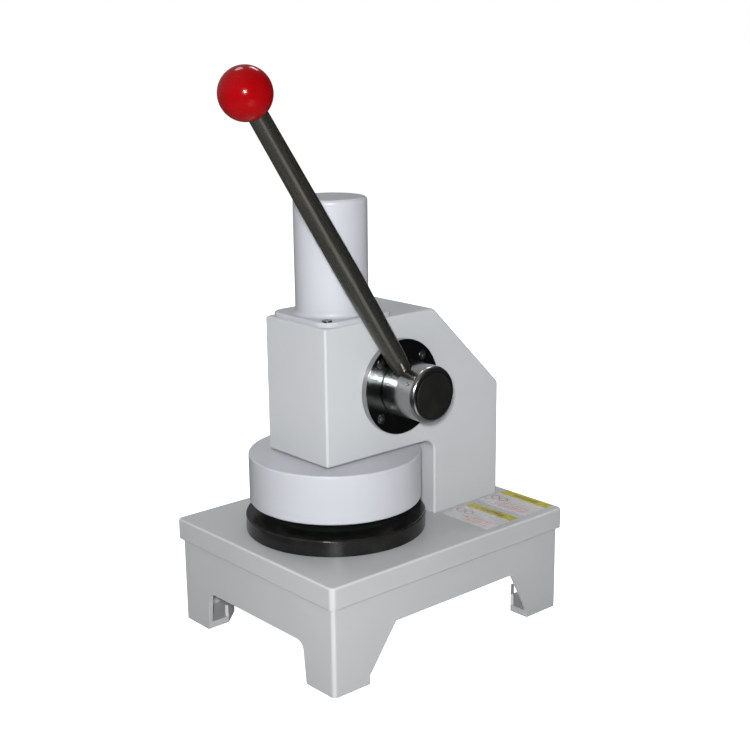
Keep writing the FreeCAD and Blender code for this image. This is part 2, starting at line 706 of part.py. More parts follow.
def hub_washer():
    left = SHAFT_RIGHT_X + HUB_SCREW_CLEARANCE
    return cross_tube(HUB_WASHER_R, M8[0], left, left + HUB_WASHER)


def hub_screw():
    seat_x = SHAFT_RIGHT_X + HUB_SCREW_CLEARANCE + HUB_WASHER
    return socket_screw(M8_LOW, 19.0, FreeCAD.Vector(seat_x, HUB_Y, HUB_Z), LEFT)


def hub_end_plug():
    depth = HUB_FACE_X - PLUG_BACK_X + PLUG_PROUD
    profile = [(0, 0), (PLUG_R, 0), (PLUG_R, depth, 0.9), (0, depth)]
    return turned(profile, FreeCAD.Vector(PLUG_BACK_X, HUB_Y, HUB_Z), RIGHT)


def lever_rod():
    """The tapered lever, thickest a little under half way up, with a stud in the knob."""
    neck = LEVER_LENGTH - KNOB_FLAT
    tip = neck + LEVER_STUD
    profile = [(0, LEVER_FOOT_R), (LEVER_TIP_R, LEVER_FOOT_R), (LEVER_TIP_R, HUB_R - 1.0, 8.0),
               (LEVER_ROOT_R, HUB_R + 12.0, 60.0), (LEVER_BELLY_R, 0.42 * LEVER_LENGTH, 900.0),
               (LEVER_NECK_R, neck - 1.0), (LEVER_NECK_R - 1.0, neck), (LEVER_STUD_R, neck),
               (LEVER_STUD_R, tip), (0, tip)]
    return turned(profile, LEVER_ROOT, LEVER_WAY)


def ball_knob():
    centre = LEVER_ROOT + LEVER_WAY * LEVER_LENGTH
    ball = Part.makeSphere(KNOB_R, centre)
    neck = LEVER_ROOT + LEVER_WAY * (LEVER_LENGTH - KNOB_FLAT)
    ball = ball.cut(Part.makeCylinder(KNOB_R, 10.0, neck - LEVER_WAY * 10.0, LEVER_WAY))
    return ball.cut(Part.makeCylinder(INSERT_R, INSERT_LENGTH + 1.0, neck - LEVER_WAY, LEVER_WAY))


def knob_insert():
    neck = LEVER_ROOT + LEVER_WAY * (LEVER_LENGTH - KNOB_FLAT)
    bore = LEVER_STUD + 0.5
    profile = [(LEVER_STUD_R, 0), (INSERT_R, 0), (INSERT_R, INSERT_LENGTH), (0, INSERT_LENGTH),
               (0, bore), (LEVER_STUD_R, bore)]
    return turned(profile, neck, LEVER_WAY)


# ---- Head, knife and ejector ----

def knife_screw_places():
    return on_circle(6, KNIFE_SCREW_CIRCLE_R, 0.0)


def ejector_pin_places():
    return on_circle(4, EJECTOR_PIN_CIRCLE_R, 45.0)


def press_head():
    profile = [(M12[0], HEAD_CEILING_Z), (HEAD_CAVITY_R, HEAD_CEILING_Z),
               (HEAD_CAVITY_R, HEAD_BOTTOM_Z), (HEAD_R, HEAD_BOTTOM_Z, HEAD_EDGE_R),
               (HEAD_R, HEAD_TOP_Z, HEAD_EDGE_R), (SPIGOT_R, HEAD_TOP_Z),
               (SPIGOT_R, SPIGOT_BOTTOM_Z), (M12[0], SPIGOT_BOTTOM_Z)]
    head = turned(profile, FreeCAD.Vector(0, RAM_Y, 0))
    for x, y in knife_screw_places():
        head = head.cut(post(M5[0], HEAD_CEILING_Z - 1.0, HEAD_CEILING_Z + 10.0, x, y))
    for x, y in ejector_pin_places():
        head = head.cut(post(EJECTOR_PIN_R + 0.3, HEAD_CEILING_Z - 1.0, EJECTOR_BORE_TOP_Z, x, y))
    return head


def head_washer():
    return tube(13.0, M12[0], HEAD_CEILING_Z - 2.0, HEAD_CEILING_Z)


def head_bolt():
    seat = FreeCAD.Vector(0, RAM_Y, HEAD_CEILING_Z - 2.0)
    return socket_screw(M12, 30.0, seat, UP)


def knife_ring():
    profile = [(KNIFE_INNER_R, KNIFE_EDGE_Z), (KNIFE_INNER_R + 0.3, KNIFE_EDGE_Z), (60.0, 140.0),
               (60.0, KNIFE_SHOULDER_Z), (KNIFE_SLEEVE_OUTER_R, HOLDER_BOTTOM_Z),
               (KNIFE_SLEEVE_OUTER_R, HEAD_CEILING_Z), (KNIFE_SLEEVE_INNER_R, HEAD_CEILING_Z),
               (KNIFE_SLEEVE_INNER_R, KNIFE_SHOULDER_Z), (KNIFE_INNER_R, KNIFE_SHOULDER_Z)]
    return turned(profile, FreeCAD.Vector(0, RAM_Y, 0))


def knife_holder():
    holder = tube(HOLDER_OUTER_R, KNIFE_SLEEVE_OUTER_R, HOLDER_BOTTOM_Z, HEAD_CEILING_Z)
    for x, y in knife_screw_places():
        holder = holder.cut(post(M5[0], HOLDER_BOTTOM_Z - 1.0, HEAD_CEILING_Z + 1.0, x, y))
    return holder


def knife_screws():
    length = HEAD_CEILING_Z + 9.0 - HOLDER_BOTTOM_Z
    return [socket_screw(M5_SMALL, length, FreeCAD.Vector(x, y, HOLDER_BOTTOM_Z), UP)
            for x, y in knife_screw_places()]


def ejector_plate():
    profile = [(0, EJECTOR_BOTTOM_Z), (EJECTOR_R, EJECTOR_BOTTOM_Z, 0.6),
               (EJECTOR_R, EJECTOR_FLANGE_Z), (EJECTOR_FLANGE_R, EJECTOR_FLANGE_Z),
               (EJECTOR_FLANGE_R, EJECTOR_TOP_Z), (0, EJECTOR_TOP_Z)]
    plate = turned(profile, FreeCAD.Vector(0, RAM_Y, 0))
    for x, y in ejector_pin_places():
        plate = plate.cut(post(EJECTOR_PIN_R, EJECTOR_FLANGE_Z - 1.0, EJECTOR_TOP_Z + 1.0, x, y))
    return plate


def ejector_pins():
    return [post(EJECTOR_PIN_R, EJECTOR_FLANGE_Z - 1.0, EJECTOR_PIN_TOP_Z, x, y)
            for x, y in ejector_pin_places()]


def ejector_springs():
    return [coil(5.5, 0.6, EJECTOR_TOP_Z + 0.05, HEAD_CEILING_Z, 5.5, x, y)
            for x, y in ejector_pin_places()]


# ---- Anvil ----

def anvil_disc():
    profile = [(0, TABLE_TOP_Z), (ANVIL_R, TABLE_TOP_Z, 0.8), (ANVIL_R, ANVIL_TOP_Z, ANVIL_EDGE_R),
               (MAT_R, ANVIL_TOP_Z), (MAT_R, ANVIL_TOP_Z - MAT_THICKNESS),
               (0, ANVIL_TOP_Z - MAT_THICKNESS)]
    anvil = turned(profile, FreeCAD.Vector(0, RAM_Y, 0))
    for x, y in on_circle(3, ANVIL_SCREW_CIRCLE_R, 90.0):
        anvil = anvil.cut(post(M6[0], TABLE_TOP_Z - 1.0, TABLE_TOP_Z + 9.0, x, y))
    return anvil


def cutting_mat():
    profile = [(0, ANVIL_TOP_Z - MAT_THICKNESS), (MAT_R, ANVIL_TOP_Z - MAT_THICKNESS),
               (MAT_R, ANVIL_TOP_Z, 0.5), (0, ANVIL_TOP_Z)]
    return turned(profile, FreeCAD.Vector(0, RAM_Y, 0))


def anvil_screws():
    return [socket_screw(M6, 18.0, FreeCAD.Vector(x, y, plate_underside()), UP)
            for x, y in on_circle(3, ANVIL_SCREW_CIRCLE_R, 90.0)]


# ---- Return spring and top cover ----

def seat_top():
    return ARM_TOP_Z + SEAT_THICKNESS


def spring_seat():
    return tube(SEAT_R, SPINDLE_R + 1.5, ARM_TOP_Z, seat_top())


def return_spring():
    return coil(SPRING_MEAN_R, SPRING_WIRE_R, seat_top(), COLLAR_BOTTOM_Z - 0.05, SPRING_COILS,
                0.0, RAM_Y)


def spring_collar():
    return tube(COLLAR_R, SPINDLE_R, COLLAR_BOTTOM_Z, COLLAR_TOP_Z)


def lock_nuts():
    nuts = []
    for low in (COLLAR_TOP_Z, COLLAR_TOP_Z + NUT_HEIGHT + 0.3):
        nut = hexagon(NUT_ACROSS_FLATS, NUT_HEIGHT, FreeCAD.Vector(0, RAM_Y, low), UP)
        nuts.append(nut.cut(post(SPINDLE_R, low - 1.0, low + NUT_HEIGHT + 1.0)))
    return nuts


def cover_screw_seat():
    return ARM_TOP_Z + COVER_FLANGE_THICKNESS - COVER_SCREW_SINK


def top_cover():
    inner = COVER_R - COVER_WALL
    flange_top = ARM_TOP_Z + COVER_FLANGE_THICKNESS
    half = COVER_FLANGE / 2
    flange = rounded_block(half, half, ARM_TOP_Z, flange_top, COVER_FLANGE_CORNER_R, RAM_Y)
    top_edges = edges_where(flange, lambda b: b.ZMin > flange_top - 0.01)
    flange = flange.makeFillet(1.0, top_edges)
    flange = flange.cut(post(COVER_R - 1.0, ARM_TOP_Z - 1.0, flange_top + 1.0))
    profile = [(inner, ARM_TOP_Z), (COVER_R, ARM_TOP_Z), (COVER_R, flange_top - 0.5),
               (COVER_R + COVER_FILLET_R, flange_top - 0.5), (COVER_R + COVER_FILLET_R, flange_top),
               (COVER_R, flange_top, COVER_FILLET_R - 0.2), (COVER_R, COVER_TOP_Z, COVER_CROWN_R),
               (0, COVER_TOP_Z), (0, COVER_TOP_Z - COVER_CROWN), (inner, COVER_TOP_Z - COVER_CROWN)]
    cover = joined([turned(profile, FreeCAD.Vector(0, RAM_Y, 0)), flange])
    for x, y in cover_screw_places():
        cover = cover.cut(post(M5_BUTTON[0], ARM_TOP_Z - 1.0, flange_top + 1.0, x, y))
        cover = cover.cut(post(M5_BUTTON[1] + 0.4, cover_screw_seat(), flange_top + 1.0, x, y))
    return cover


def cover_screws():
    return [socket_screw(M5_BUTTON, 15.0, FreeCAD.Vector(x, y, cover_screw_seat()), DOWN)
            for x, y in cover_screw_places()]


def rear_labels():
    return [box((low_x, low_y, TABLE_TOP_Z), (high_x, high_y, TABLE_TOP_Z + LABEL_THICKNESS))
            for low_x, high_x, low_y, high_y in LABELS.values()]


NODES = [table_top, table_skirt, leg_shoes, corner_blocks, table_screws, body_casting,
         column_washers, column_bolts, lower_ram_bush, upper_ram_bush, ram, ram_spindle,
         spring_seat, return_spring, spring_collar, lock_nuts, pinion_shaft, inner_shaft_bush,
         outer_shaft_bush, bearing_flange, flange_screws, thrust_washer, hub, hub_key,
         hub_set_screw, hub_washer, hub_screw, hub_end_plug, lever_rod, ball_knob, knob_insert,
         press_head, head_washer, head_bolt, knife_ring, knife_holder, knife_screws,
         ejector_plate, ejector_pins, ejector_springs, anvil_disc, cutting_mat, anvil_screws,
         top_cover, cover_screws, rear_labels]


def write_nodes():
    os.makedirs("parts", exist_ok=True)
    for make in NODES:
        shape = make()
        if isinstance(shape, list):
            shape = Part.makeCompound(shape)
        solids = shape.Solids
        state = "ok" if shape.isValid() and solids else "BROKEN"
        print("%-18s %-6s solids %d volume %.0f" % (make.__name__, state, len(solids), shape.Volume))
        shape.exportStep("parts/%s.step" % make.__name__)


write_nodes()
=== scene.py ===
import bmesh
import bpy
import math
from mathutils import Matrix, Vector


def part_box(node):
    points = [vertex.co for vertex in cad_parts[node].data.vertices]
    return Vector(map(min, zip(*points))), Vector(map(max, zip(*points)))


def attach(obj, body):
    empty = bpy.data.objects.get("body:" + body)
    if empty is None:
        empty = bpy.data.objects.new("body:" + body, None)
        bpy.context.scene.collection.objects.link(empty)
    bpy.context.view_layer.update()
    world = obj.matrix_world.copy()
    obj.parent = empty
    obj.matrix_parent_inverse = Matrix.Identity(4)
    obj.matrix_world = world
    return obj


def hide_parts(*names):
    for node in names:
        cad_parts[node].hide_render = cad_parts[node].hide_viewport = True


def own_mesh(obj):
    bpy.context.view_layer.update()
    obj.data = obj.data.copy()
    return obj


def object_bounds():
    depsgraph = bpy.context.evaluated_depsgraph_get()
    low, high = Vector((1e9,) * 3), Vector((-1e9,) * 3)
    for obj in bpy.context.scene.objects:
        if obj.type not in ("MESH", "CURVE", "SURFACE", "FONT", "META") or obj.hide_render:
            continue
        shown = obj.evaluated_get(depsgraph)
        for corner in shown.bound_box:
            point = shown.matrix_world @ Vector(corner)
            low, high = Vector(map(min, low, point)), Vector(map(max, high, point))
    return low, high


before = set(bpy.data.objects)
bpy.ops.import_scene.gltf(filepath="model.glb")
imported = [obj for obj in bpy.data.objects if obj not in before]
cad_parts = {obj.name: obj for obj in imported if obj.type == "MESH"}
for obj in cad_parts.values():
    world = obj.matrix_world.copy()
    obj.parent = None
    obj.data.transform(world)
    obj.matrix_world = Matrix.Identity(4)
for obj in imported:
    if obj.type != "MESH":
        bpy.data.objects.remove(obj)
cad_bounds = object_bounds()

MM = 0.001


def centre_of(node):
    low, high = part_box(node)
    return (Vector(low) + Vector(high)) / 2


def size_of(node):
    low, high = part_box(node)
    return Vector(high) - Vector(low)


HUB_AXIS = centre_of("hub_end_plug")
RAM_AXIS = centre_of("anvil_disc")
FLANGE_RADIUS = size_of("bearing_flange").z / 2
KNOB_CENTRE = centre_of("ball_knob")
TABLE_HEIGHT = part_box("table_top")[1][2]
LEVER_ROOT = Vector((KNOB_CENTRE.x, HUB_AXIS.y, HUB_AXIS.z))
LEVER_WAY = (KNOB_CENTRE - LEVER_ROOT).normalized()


# ---- Camera ----

CAMERA_PLACE = Vector((0.936, -0.7863, 0.5658))
CAMERA_AZIMUTH = math.radians(48.72)
CAMERA_ELEVATION = math.radians(14.41)
CAMERA_ROLL = math.radians(-0.64)
CAMERA_LENS = 63.53
CAMERA_SENSOR = 36.0


def make_camera():
    data = bpy.data.cameras.new("camera")
    data.lens = CAMERA_LENS
    data.sensor_width = CAMERA_SENSOR
    camera = bpy.data.objects.new("camera", data)
    bpy.context.scene.collection.objects.link(camera)
    sin_a, cos_a = math.sin(CAMERA_AZIMUTH), math.cos(CAMERA_AZIMUTH)
    sin_e, cos_e = math.sin(CAMERA_ELEVATION), math.cos(CAMERA_ELEVATION)
    right = Vector((cos_a, sin_a, 0))
    back = Vector((sin_a * cos_e, -cos_a * cos_e, sin_e))
    above = back.cross(right)
    turned_right = right * math.cos(CAMERA_ROLL) + above * math.sin(CAMERA_ROLL)
    turned_above = above * math.cos(CAMERA_ROLL) - right * math.sin(CAMERA_ROLL)
    turn = Matrix((turned_right, turned_above, back)).transposed().to_4x4()
    camera.matrix_world = Matrix.Translation(CAMERA_PLACE) @ turn
    bpy.context.scene.camera = camera


# ---- Material nodes ----

class Finish:
    """One procedural material, with short calls that add and join its nodes."""

    def __init__(self, name):
        self.material = bpy.data.materials.new(name)
        self.material.use_nodes = True
        self.tree = self.material.node_tree
        self.shader = self.tree.nodes["Principled BSDF"]
        self.place = self.add("ShaderNodeTexCoord").outputs["Object"]

    def add(self, kind, **settings):
        node = self.tree.nodes.new(kind)
        for key, value in settings.items():
            setattr(node, key, value)
        return node

    def plug(self, socket, value):
        if isinstance(value, bpy.types.NodeSocket):
            self.tree.links.new(value, socket)
        else:
            socket.default_value = value

    def math(self, operation, first, second=0.0, clamp=False):
        node = self.add("ShaderNodeMath", operation=operation, use_clamp=clamp)
        self.plug(node.inputs[0], first)
        self.plug(node.inputs[1], second)
        return node.outputs[0]

    def vector(self, operation, first, second=(0, 0, 0)):
        node = self.add("ShaderNodeVectorMath", operation=operation)
        self.plug(node.inputs[0], first)
        self.plug(node.inputs[1], second)
        return node.outputs["Value" if operation in ("LENGTH", "DOT_PRODUCT") else "Vector"]

    def axes(self, vector=None):
        node = self.add("ShaderNodeSeparateXYZ")
        self.plug(node.inputs[0], self.place if vector is None else vector)
        return node.outputs

    def combined(self, x=0.0, y=0.0, z=0.0):
        node = self.add("ShaderNodeCombineXYZ")
        for socket, value in zip(node.inputs, (x, y, z)):
            self.plug(socket, value)
        return node.outputs[0]

    def noise(self, scale, detail=3.0, roughness=0.5, vector=None):
        node = self.add("ShaderNodeTexNoise")
        self.plug(node.inputs["Vector"], self.place if vector is None else vector)
        self.plug(node.inputs["Scale"], scale)
        self.plug(node.inputs["Detail"], detail)
        self.plug(node.inputs["Roughness"], roughness)
        return node.outputs["Fac"]

    def lines(self, across, along, per_metre):
        """A place to take noise from, so that it comes out as fine lines."""
        return self.combined(self.math("MULTIPLY", across, per_metre),
                             self.math("MULTIPLY", along, per_metre))

    def span(self, value, low, high, to_low=0.0, to_high=1.0):
        node = self.add("ShaderNodeMapRange")
        for socket, number in zip(node.inputs[:5], (value, low, high, to_low, to_high)):
            self.plug(socket, number)
        return node.outputs[0]

    def mix(self, factor, first, second):
        node = self.add("ShaderNodeMix", data_type="RGBA")
        self.plug(node.inputs["Factor"], factor)
        colours = [socket for socket in node.inputs if socket.type == "RGBA"]
        self.plug(colours[0], first)
        self.plug(colours[1], second)
        return [socket for socket in node.outputs if socket.type == "RGBA"][0]

    def bump(self, height, depth, strength=1.0, normal=None):
        node = self.add("ShaderNodeBump")
        self.plug(node.inputs["Height"], height)
        self.plug(node.inputs["Distance"], depth)
        self.plug(node.inputs["Strength"], strength)
        if normal is not None:
            self.plug(node.inputs["Normal"], normal)
        return node.outputs[0]

    def edges(self, radius):
        """1 along convex and concave edges, 0 on flats."""
        bevel = self.add("ShaderNodeBevel", samples=4)
        self.plug(bevel.inputs["Radius"], radius)
        normal = self.add("ShaderNodeNewGeometry").outputs["Normal"]
        match = self.vector("DOT_PRODUCT", bevel.outputs[0], normal)
        return self.span(match, 0.97, 0.80)

    def rounded_edges(self, strength):
        """The strength on the rounding between square faces, 0 on faces square to an axis."""
        normal = self.add("ShaderNodeNewGeometry").outputs["Normal"]
        slopes = self.axes(self.vector("ABSOLUTE", normal))
        steepest = self.math("MAXIMUM", self.math("MAXIMUM", slopes[0], slopes[1]), slopes[2])
        return self.span(steepest, 0.98, 0.88, 0.0, strength)

    def crevices(self, distance):
        """1 deep in corners and joints, 0 in the open."""
        node = self.add("ShaderNodeAmbientOcclusion", samples=6)
        self.plug(node.inputs["Distance"], distance)
        return self.span(node.outputs["AO"], 0.75, 0.2)

    def set(self, **sockets):
        for name, value in sockets.items():
            self.plug(self.shader.inputs[name.replace("_", " ")], value)
        return self.material


def grey(level, tint=(1.0, 1.0, 1.0)):
    return (level * tint[0], level * tint[1], level * tint[2], 1.0)


def scaled(colour, share):
    return tuple(min(1.0, c * share) for c in colour[:3]) + (1.0,)


SPECK = grey(0.25, (1.0, 0.96, 0.88))
# Painted shade: the colour that the paint darkens towards in corners and joints
JOINT_SHADE = grey(0.22, (1.0, 0.94, 0.84))
# Lighter, worn paint on the edges, also mixed in as a painted highlight along them
THIN_PAINT_AND_HIGHLIGHT = grey(0.80, (1.0, 1.0, 0.98))
# Painted highlight on the rounded edges, and how strongly it is mixed in
EDGE_HIGHLIGHT = grey(0.53)
EDGE_HIGHLIGHT_STRENGTH = 0.7
# How far the ambient occlusion reaches for the painted shade in the joints
JOINT_SHADE_REACH = 4 * MM
EDGE_REACH = 0.8 * MM
SMALL_EDGE_WEAR = 0.3 * MM


def enamel(name, colour, gloss, texture, edge_wear_and_highlight, highlight_edges=False):
    """Sprayed enamel: faint shade drift, orange peel, painted shade in the joints, and paint worn thinly on
    edges, lighter there, which also serves as a painted highlight.

    The last argument also lightens the rounding between square faces: a painted highlight."""
    paint = Finish(name)
    drift = paint.noise(9.0, 2.0)
    speckle = paint.noise(1400.0, 2.0)
    shade = paint.mix(paint.span(drift, 0.2, 0.8), scaled(colour, 0.96), scaled(colour, 1.03))
    shade = paint.mix(paint.span(speckle, 0.62, 0.75, 0.0, 0.07 * texture), shade, SPECK)
    # Painted shade: the colour darkens in corners and joints found by ambient occlusion, broken into
    # patches; the paint is rougher there too
    patches = paint.span(paint.noise(160.0), 0.3, 0.7, 0.1, 0.35)
    joint_shade = paint.math("MULTIPLY", paint.crevices(JOINT_SHADE_REACH), patches)
    shade = paint.mix(joint_shade, shade, JOINT_SHADE)
    if edge_wear_and_highlight:
        # Lighter, worn paint along the edges in patches, which also stands in for their painted highlight
        edge_patches = paint.span(paint.noise(70.0, 5.0), 0.42, 0.62, 0.25 * edge_wear_and_highlight, edge_wear_and_highlight)
        worn_and_lit_edge = paint.math("MULTIPLY", paint.edges(EDGE_REACH), edge_patches)
        shade = paint.mix(worn_and_lit_edge, shade, THIN_PAINT_AND_HIGHLIGHT)
    if highlight_edges:
        # Painted highlight along the rounded edges
        shade = paint.mix(paint.rounded_edges(EDGE_HIGHLIGHT_STRENGTH), shade, EDGE_HIGHLIGHT)
    peel = paint.noise(420.0, 2.0)
    cast = paint.noise(60.0, 3.0)
    relief = paint.bump(peel, 0.05 * MM, 0.35 * texture)
    relief = paint.bump(cast, 0.12 * MM, 0.12 * texture, relief)
    rough = paint.span(paint.noise(35.0, 5.0), 0.3, 0.7, gloss - 0.05, gloss + 0.08)
    rough = paint.math("ADD", rough, paint.math("MULTIPLY", joint_shade, 0.3), clamp=True)
    return paint.set(Base_Color=shade, Roughness=rough, Normal=relief, Coat_Weight=0.05,
                     Coat_Roughness=0.2)


FINE_RINGS = 2600.0
WIDE_RINGS = 420.0
ANVIL_RINGS = 1800.0
# Where the painted dark reflection on the face gives way to bright metal, at its outer radius and behind
# its outer face
DARK_FACE_BLUR = 0.2 * MM
DARK_FACE_FULL = -0.4 * MM
DARK_FACE_GONE = -1.4 * MM


def turned_metal(name, colour, roughness, axis, along, line_depth, dark=None, bright_beyond=None):
    """Lathe-turned metal: fine rings about an axis, with a brushed sheen and light oil stains.

    The face is painted dark, where that is given, out to the radius bright_beyond: a painted reflection of
    a dark room."""
    metal = Finish(name)
    local = metal.vector("SUBTRACT", metal.place, tuple(axis))
    flat = tuple(0.0 if along[i] else 1.0 for i in range(3))
    radial = metal.vector("MULTIPLY", local, flat)
    radius = metal.vector("LENGTH", radial)
    height = metal.vector("DOT_PRODUCT", local, along)
    rings = metal.noise(1.0, 3.0, 0.6, metal.lines(radius, height, FINE_RINGS))
    bands = metal.noise(1.0, 2.0, 0.5, metal.lines(radius, height, WIDE_RINGS))
    stain = metal.noise(90.0, 5.0, 0.6)
    low = scaled(colour, 0.72)
    shade = metal.mix(metal.span(rings, 0.3, 0.7), low, colour)
    shade = metal.mix(metal.span(bands, 0.35, 0.65, 0.0, 0.35), shade, low)
    if dark is not None:
        # Painted reflection: the face is darkened as if it mirrored a dark room
        dark_reflection = metal.mix(metal.span(rings, 0.3, 0.7), scaled(dark, 0.8), dark)
        rim = metal.span(radius, bright_beyond - DARK_FACE_BLUR, bright_beyond + DARK_FACE_BLUR)
        behind = metal.span(height, DARK_FACE_FULL, DARK_FACE_GONE)
        shade = metal.mix(metal.math("MAXIMUM", rim, behind), dark_reflection, shade)
    shade = metal.mix(metal.span(stain, 0.55, 0.8, 0.0, 0.5), shade, scaled(colour, 0.5))
    rough = metal.span(metal.math("ADD", rings, stain), 0.6, 1.4, roughness - 0.06, roughness + 0.08)
    tangent = metal.add("ShaderNodeTangent", direction_type="RADIAL", axis="XYZ"[along.index(1)])
    relief = metal.bump(rings, line_depth, 0.5)
    return metal.set(Base_Color=shade, Metallic=1.0, Roughness=rough, Normal=relief, Anisotropic=0.5,
                     Tangent=tangent.outputs[0])


def anvil_black():
    """Black oxide on a turned disc, polished and lightly oiled."""
    black = Finish("anvil_black")
    local = black.vector("SUBTRACT", black.place, tuple(RAM_AXIS))
    radius = black.vector("LENGTH", black.vector("MULTIPLY", local, (1, 1, 0)))
    rings = black.noise(1.0, 2.0, 0.5, black.lines(radius, black.axes()["Z"], ANVIL_RINGS))
    stain = black.noise(45.0, 5.0, 0.6)
    shade = black.mix(black.span(stain, 0.35, 0.7), grey(0.005), grey(0.015, (1.0, 1.0, 0.88)))
    worn = black.math("MULTIPLY", black.edges(EDGE_REACH), black.span(black.noise(55.0, 4.0), 0.4, 0.6))
    shade = black.mix(black.math("MULTIPLY", worn, 0.3), shade, grey(0.08))
    rough = black.span(black.math("ADD", rings, stain), 0.6, 1.4, 0.14, 0.26)
    return black.set(Base_Color=shade, Metallic=0.0, Roughness=rough,
                     Normal=black.bump(rings, 0.02 * MM, 0.4), Specular_IOR_Level=0.3)


LEVER_LINES = 900.0
LEVER_LINES_LENGTHWAYS = 14.0


def lever_gunmetal():
    """Dark nickel on a drawn rod, with fine lines along it and handling marks."""
    steel = Finish("lever_gunmetal")
    local = steel.vector("SUBTRACT", steel.place, tuple(LEVER_ROOT))
    along = steel.vector("DOT_PRODUCT", local, tuple(LEVER_WAY))
    across = steel.vector("DOT_PRODUCT", local, tuple(LEVER_WAY.cross(Vector((1, 0, 0)))))
    side = steel.axes(local)["X"]
    drawn = steel.combined(steel.math("MULTIPLY", side, LEVER_LINES),
                           steel.math("MULTIPLY", across, LEVER_LINES),
                           steel.math("MULTIPLY", along, LEVER_LINES_LENGTHWAYS))
    streaks = steel.noise(1.0, 4.0, 0.6, drawn)
    marks = steel.noise(60.0, 6.0, 0.65)
    shade = steel.mix(steel.span(streaks, 0.3, 0.7), grey(0.075, (1.0, 0.99, 0.86)),
                      grey(0.140, (1.0, 0.99, 0.88)))
    shade = steel.mix(steel.span(marks, 0.6, 0.8, 0.0, 0.5), shade, grey(0.05, (1.0, 0.97, 0.85)))
    rough = steel.span(steel.math("ADD", streaks, marks), 0.6, 1.4, 0.20, 0.34)
    return steel.set(Base_Color=shade, Metallic=0.85, Roughness=rough,
                     Normal=steel.bump(streaks, 0.02 * MM, 0.4))


KNOB_DEEP = (0.215, 0.001, 0.002, 1)
KNOB_BRIGHT = (0.265, 0.002, 0.004, 1)
MOULD_LINE = 0.25 * MM


def knob_red():
    """Polished red phenolic with a faint mould line round its waist and fine scratches."""
    red = Finish("knob_red")
    depth = red.noise(30.0, 4.0)
    shade = red.mix(red.span(depth, 0.3, 0.7), KNOB_DEEP, KNOB_BRIGHT)
    local = red.vector("SUBTRACT", red.place, tuple(KNOB_CENTRE))
    height = red.vector("DOT_PRODUCT", local, tuple(LEVER_WAY))
    line = red.span(red.math("ABSOLUTE", height), 0.0, MOULD_LINE, 1.0, 0.0)
    scratches = red.noise(700.0, 3.0, 0.7, red.vector("MULTIPLY", red.place, (1.0, 0.08, 1.0)))
    scratch = red.span(scratches, 0.66, 0.72)
    relief = red.bump(line, 0.06 * MM, 0.5)
    relief = red.bump(red.noise(90.0, 2.0), 0.05 * MM, 0.08, relief)
    rough = red.math("ADD", red.span(depth, 0.3, 0.7, 0.13, 0.18), red.math("MULTIPLY", scratch, 0.12))
    return red.set(Base_Color=shade, Roughness=rough, Normal=relief, Specular_IOR_Level=0.15)


def moulded(name, colour, roughness, grain):
    """Moulded plastic or rubber with a spark-eroded grain and a little dust."""
    plastic = Finish(name)
    pores = plastic.noise(1300.0, 3.0)
    cloud = plastic.noise(70.0, 4.0)
    shade = plastic.mix(plastic.span(cloud, 0.45, 0.8, 0.0, 0.6), colour, scaled(colour, 2.2))
    rough = plastic.span(plastic.math("ADD", pores, cloud), 0.7, 1.3, roughness - 0.08, roughness + 0.10)
    return plastic.set(Base_Color=shade, Roughness=rough, Normal=plastic.bump(pores, grain, 0.5),
                       Specular_IOR_Level=0.3)


def plain_metal(name, colour, roughness, stain_colour, scale=120.0):
    """Ground or plated metal with oil film, fine scratches and darker stains."""
    metal = Finish(name)
    stain = metal.noise(scale, 5.0, 0.6)
    scratch = metal.noise(900.0, 3.0, 0.6, metal.vector("MULTIPLY", metal.place, (1.0, 1.0, 0.1)))
    shade = metal.mix(metal.span(stain, 0.45, 0.75, 0.0, 0.8), colour, stain_colour)
    worn = metal.math("MULTIPLY", metal.edges(SMALL_EDGE_WEAR), 0.4)
    shade = metal.mix(worn, shade, scaled(colour, 1.6))
    rough = metal.span(metal.math("ADD", stain, scratch), 0.6, 1.4, roughness - 0.08, roughness + 0.12)
    return metal.set(Base_Color=shade, Metallic=1.0, Roughness=rough,
                     Normal=metal.bump(scratch, 0.02 * MM, 0.4))


# ---- Finishes on the CAD nodes ----

def paint_node(material, *nodes):
    for node in nodes:
        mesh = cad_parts[node].data
        mesh.materials.clear()
        mesh.materials.append(material)


X_WAY = (1, 0, 0)
Z_WAY = (0, 0, 1)
STEEL = grey(0.46, (0.98, 1.0, 0.99))
BRONZE = (0.52, 0.33, 0.13, 1)
BRASS = (0.66, 0.46, 0.17, 1)
BRASS_STAIN = (0.35, 0.22, 0.08, 1)
# The flange's face, painted dark as a reflection of a dark room, stops this far inside its rim
FLANGE_RIM = 0.6 * MM
FINE_TURNING = 0.01 * MM
PLAIN_TURNING = 0.02 * MM
SCREW_STAINS = 300.0


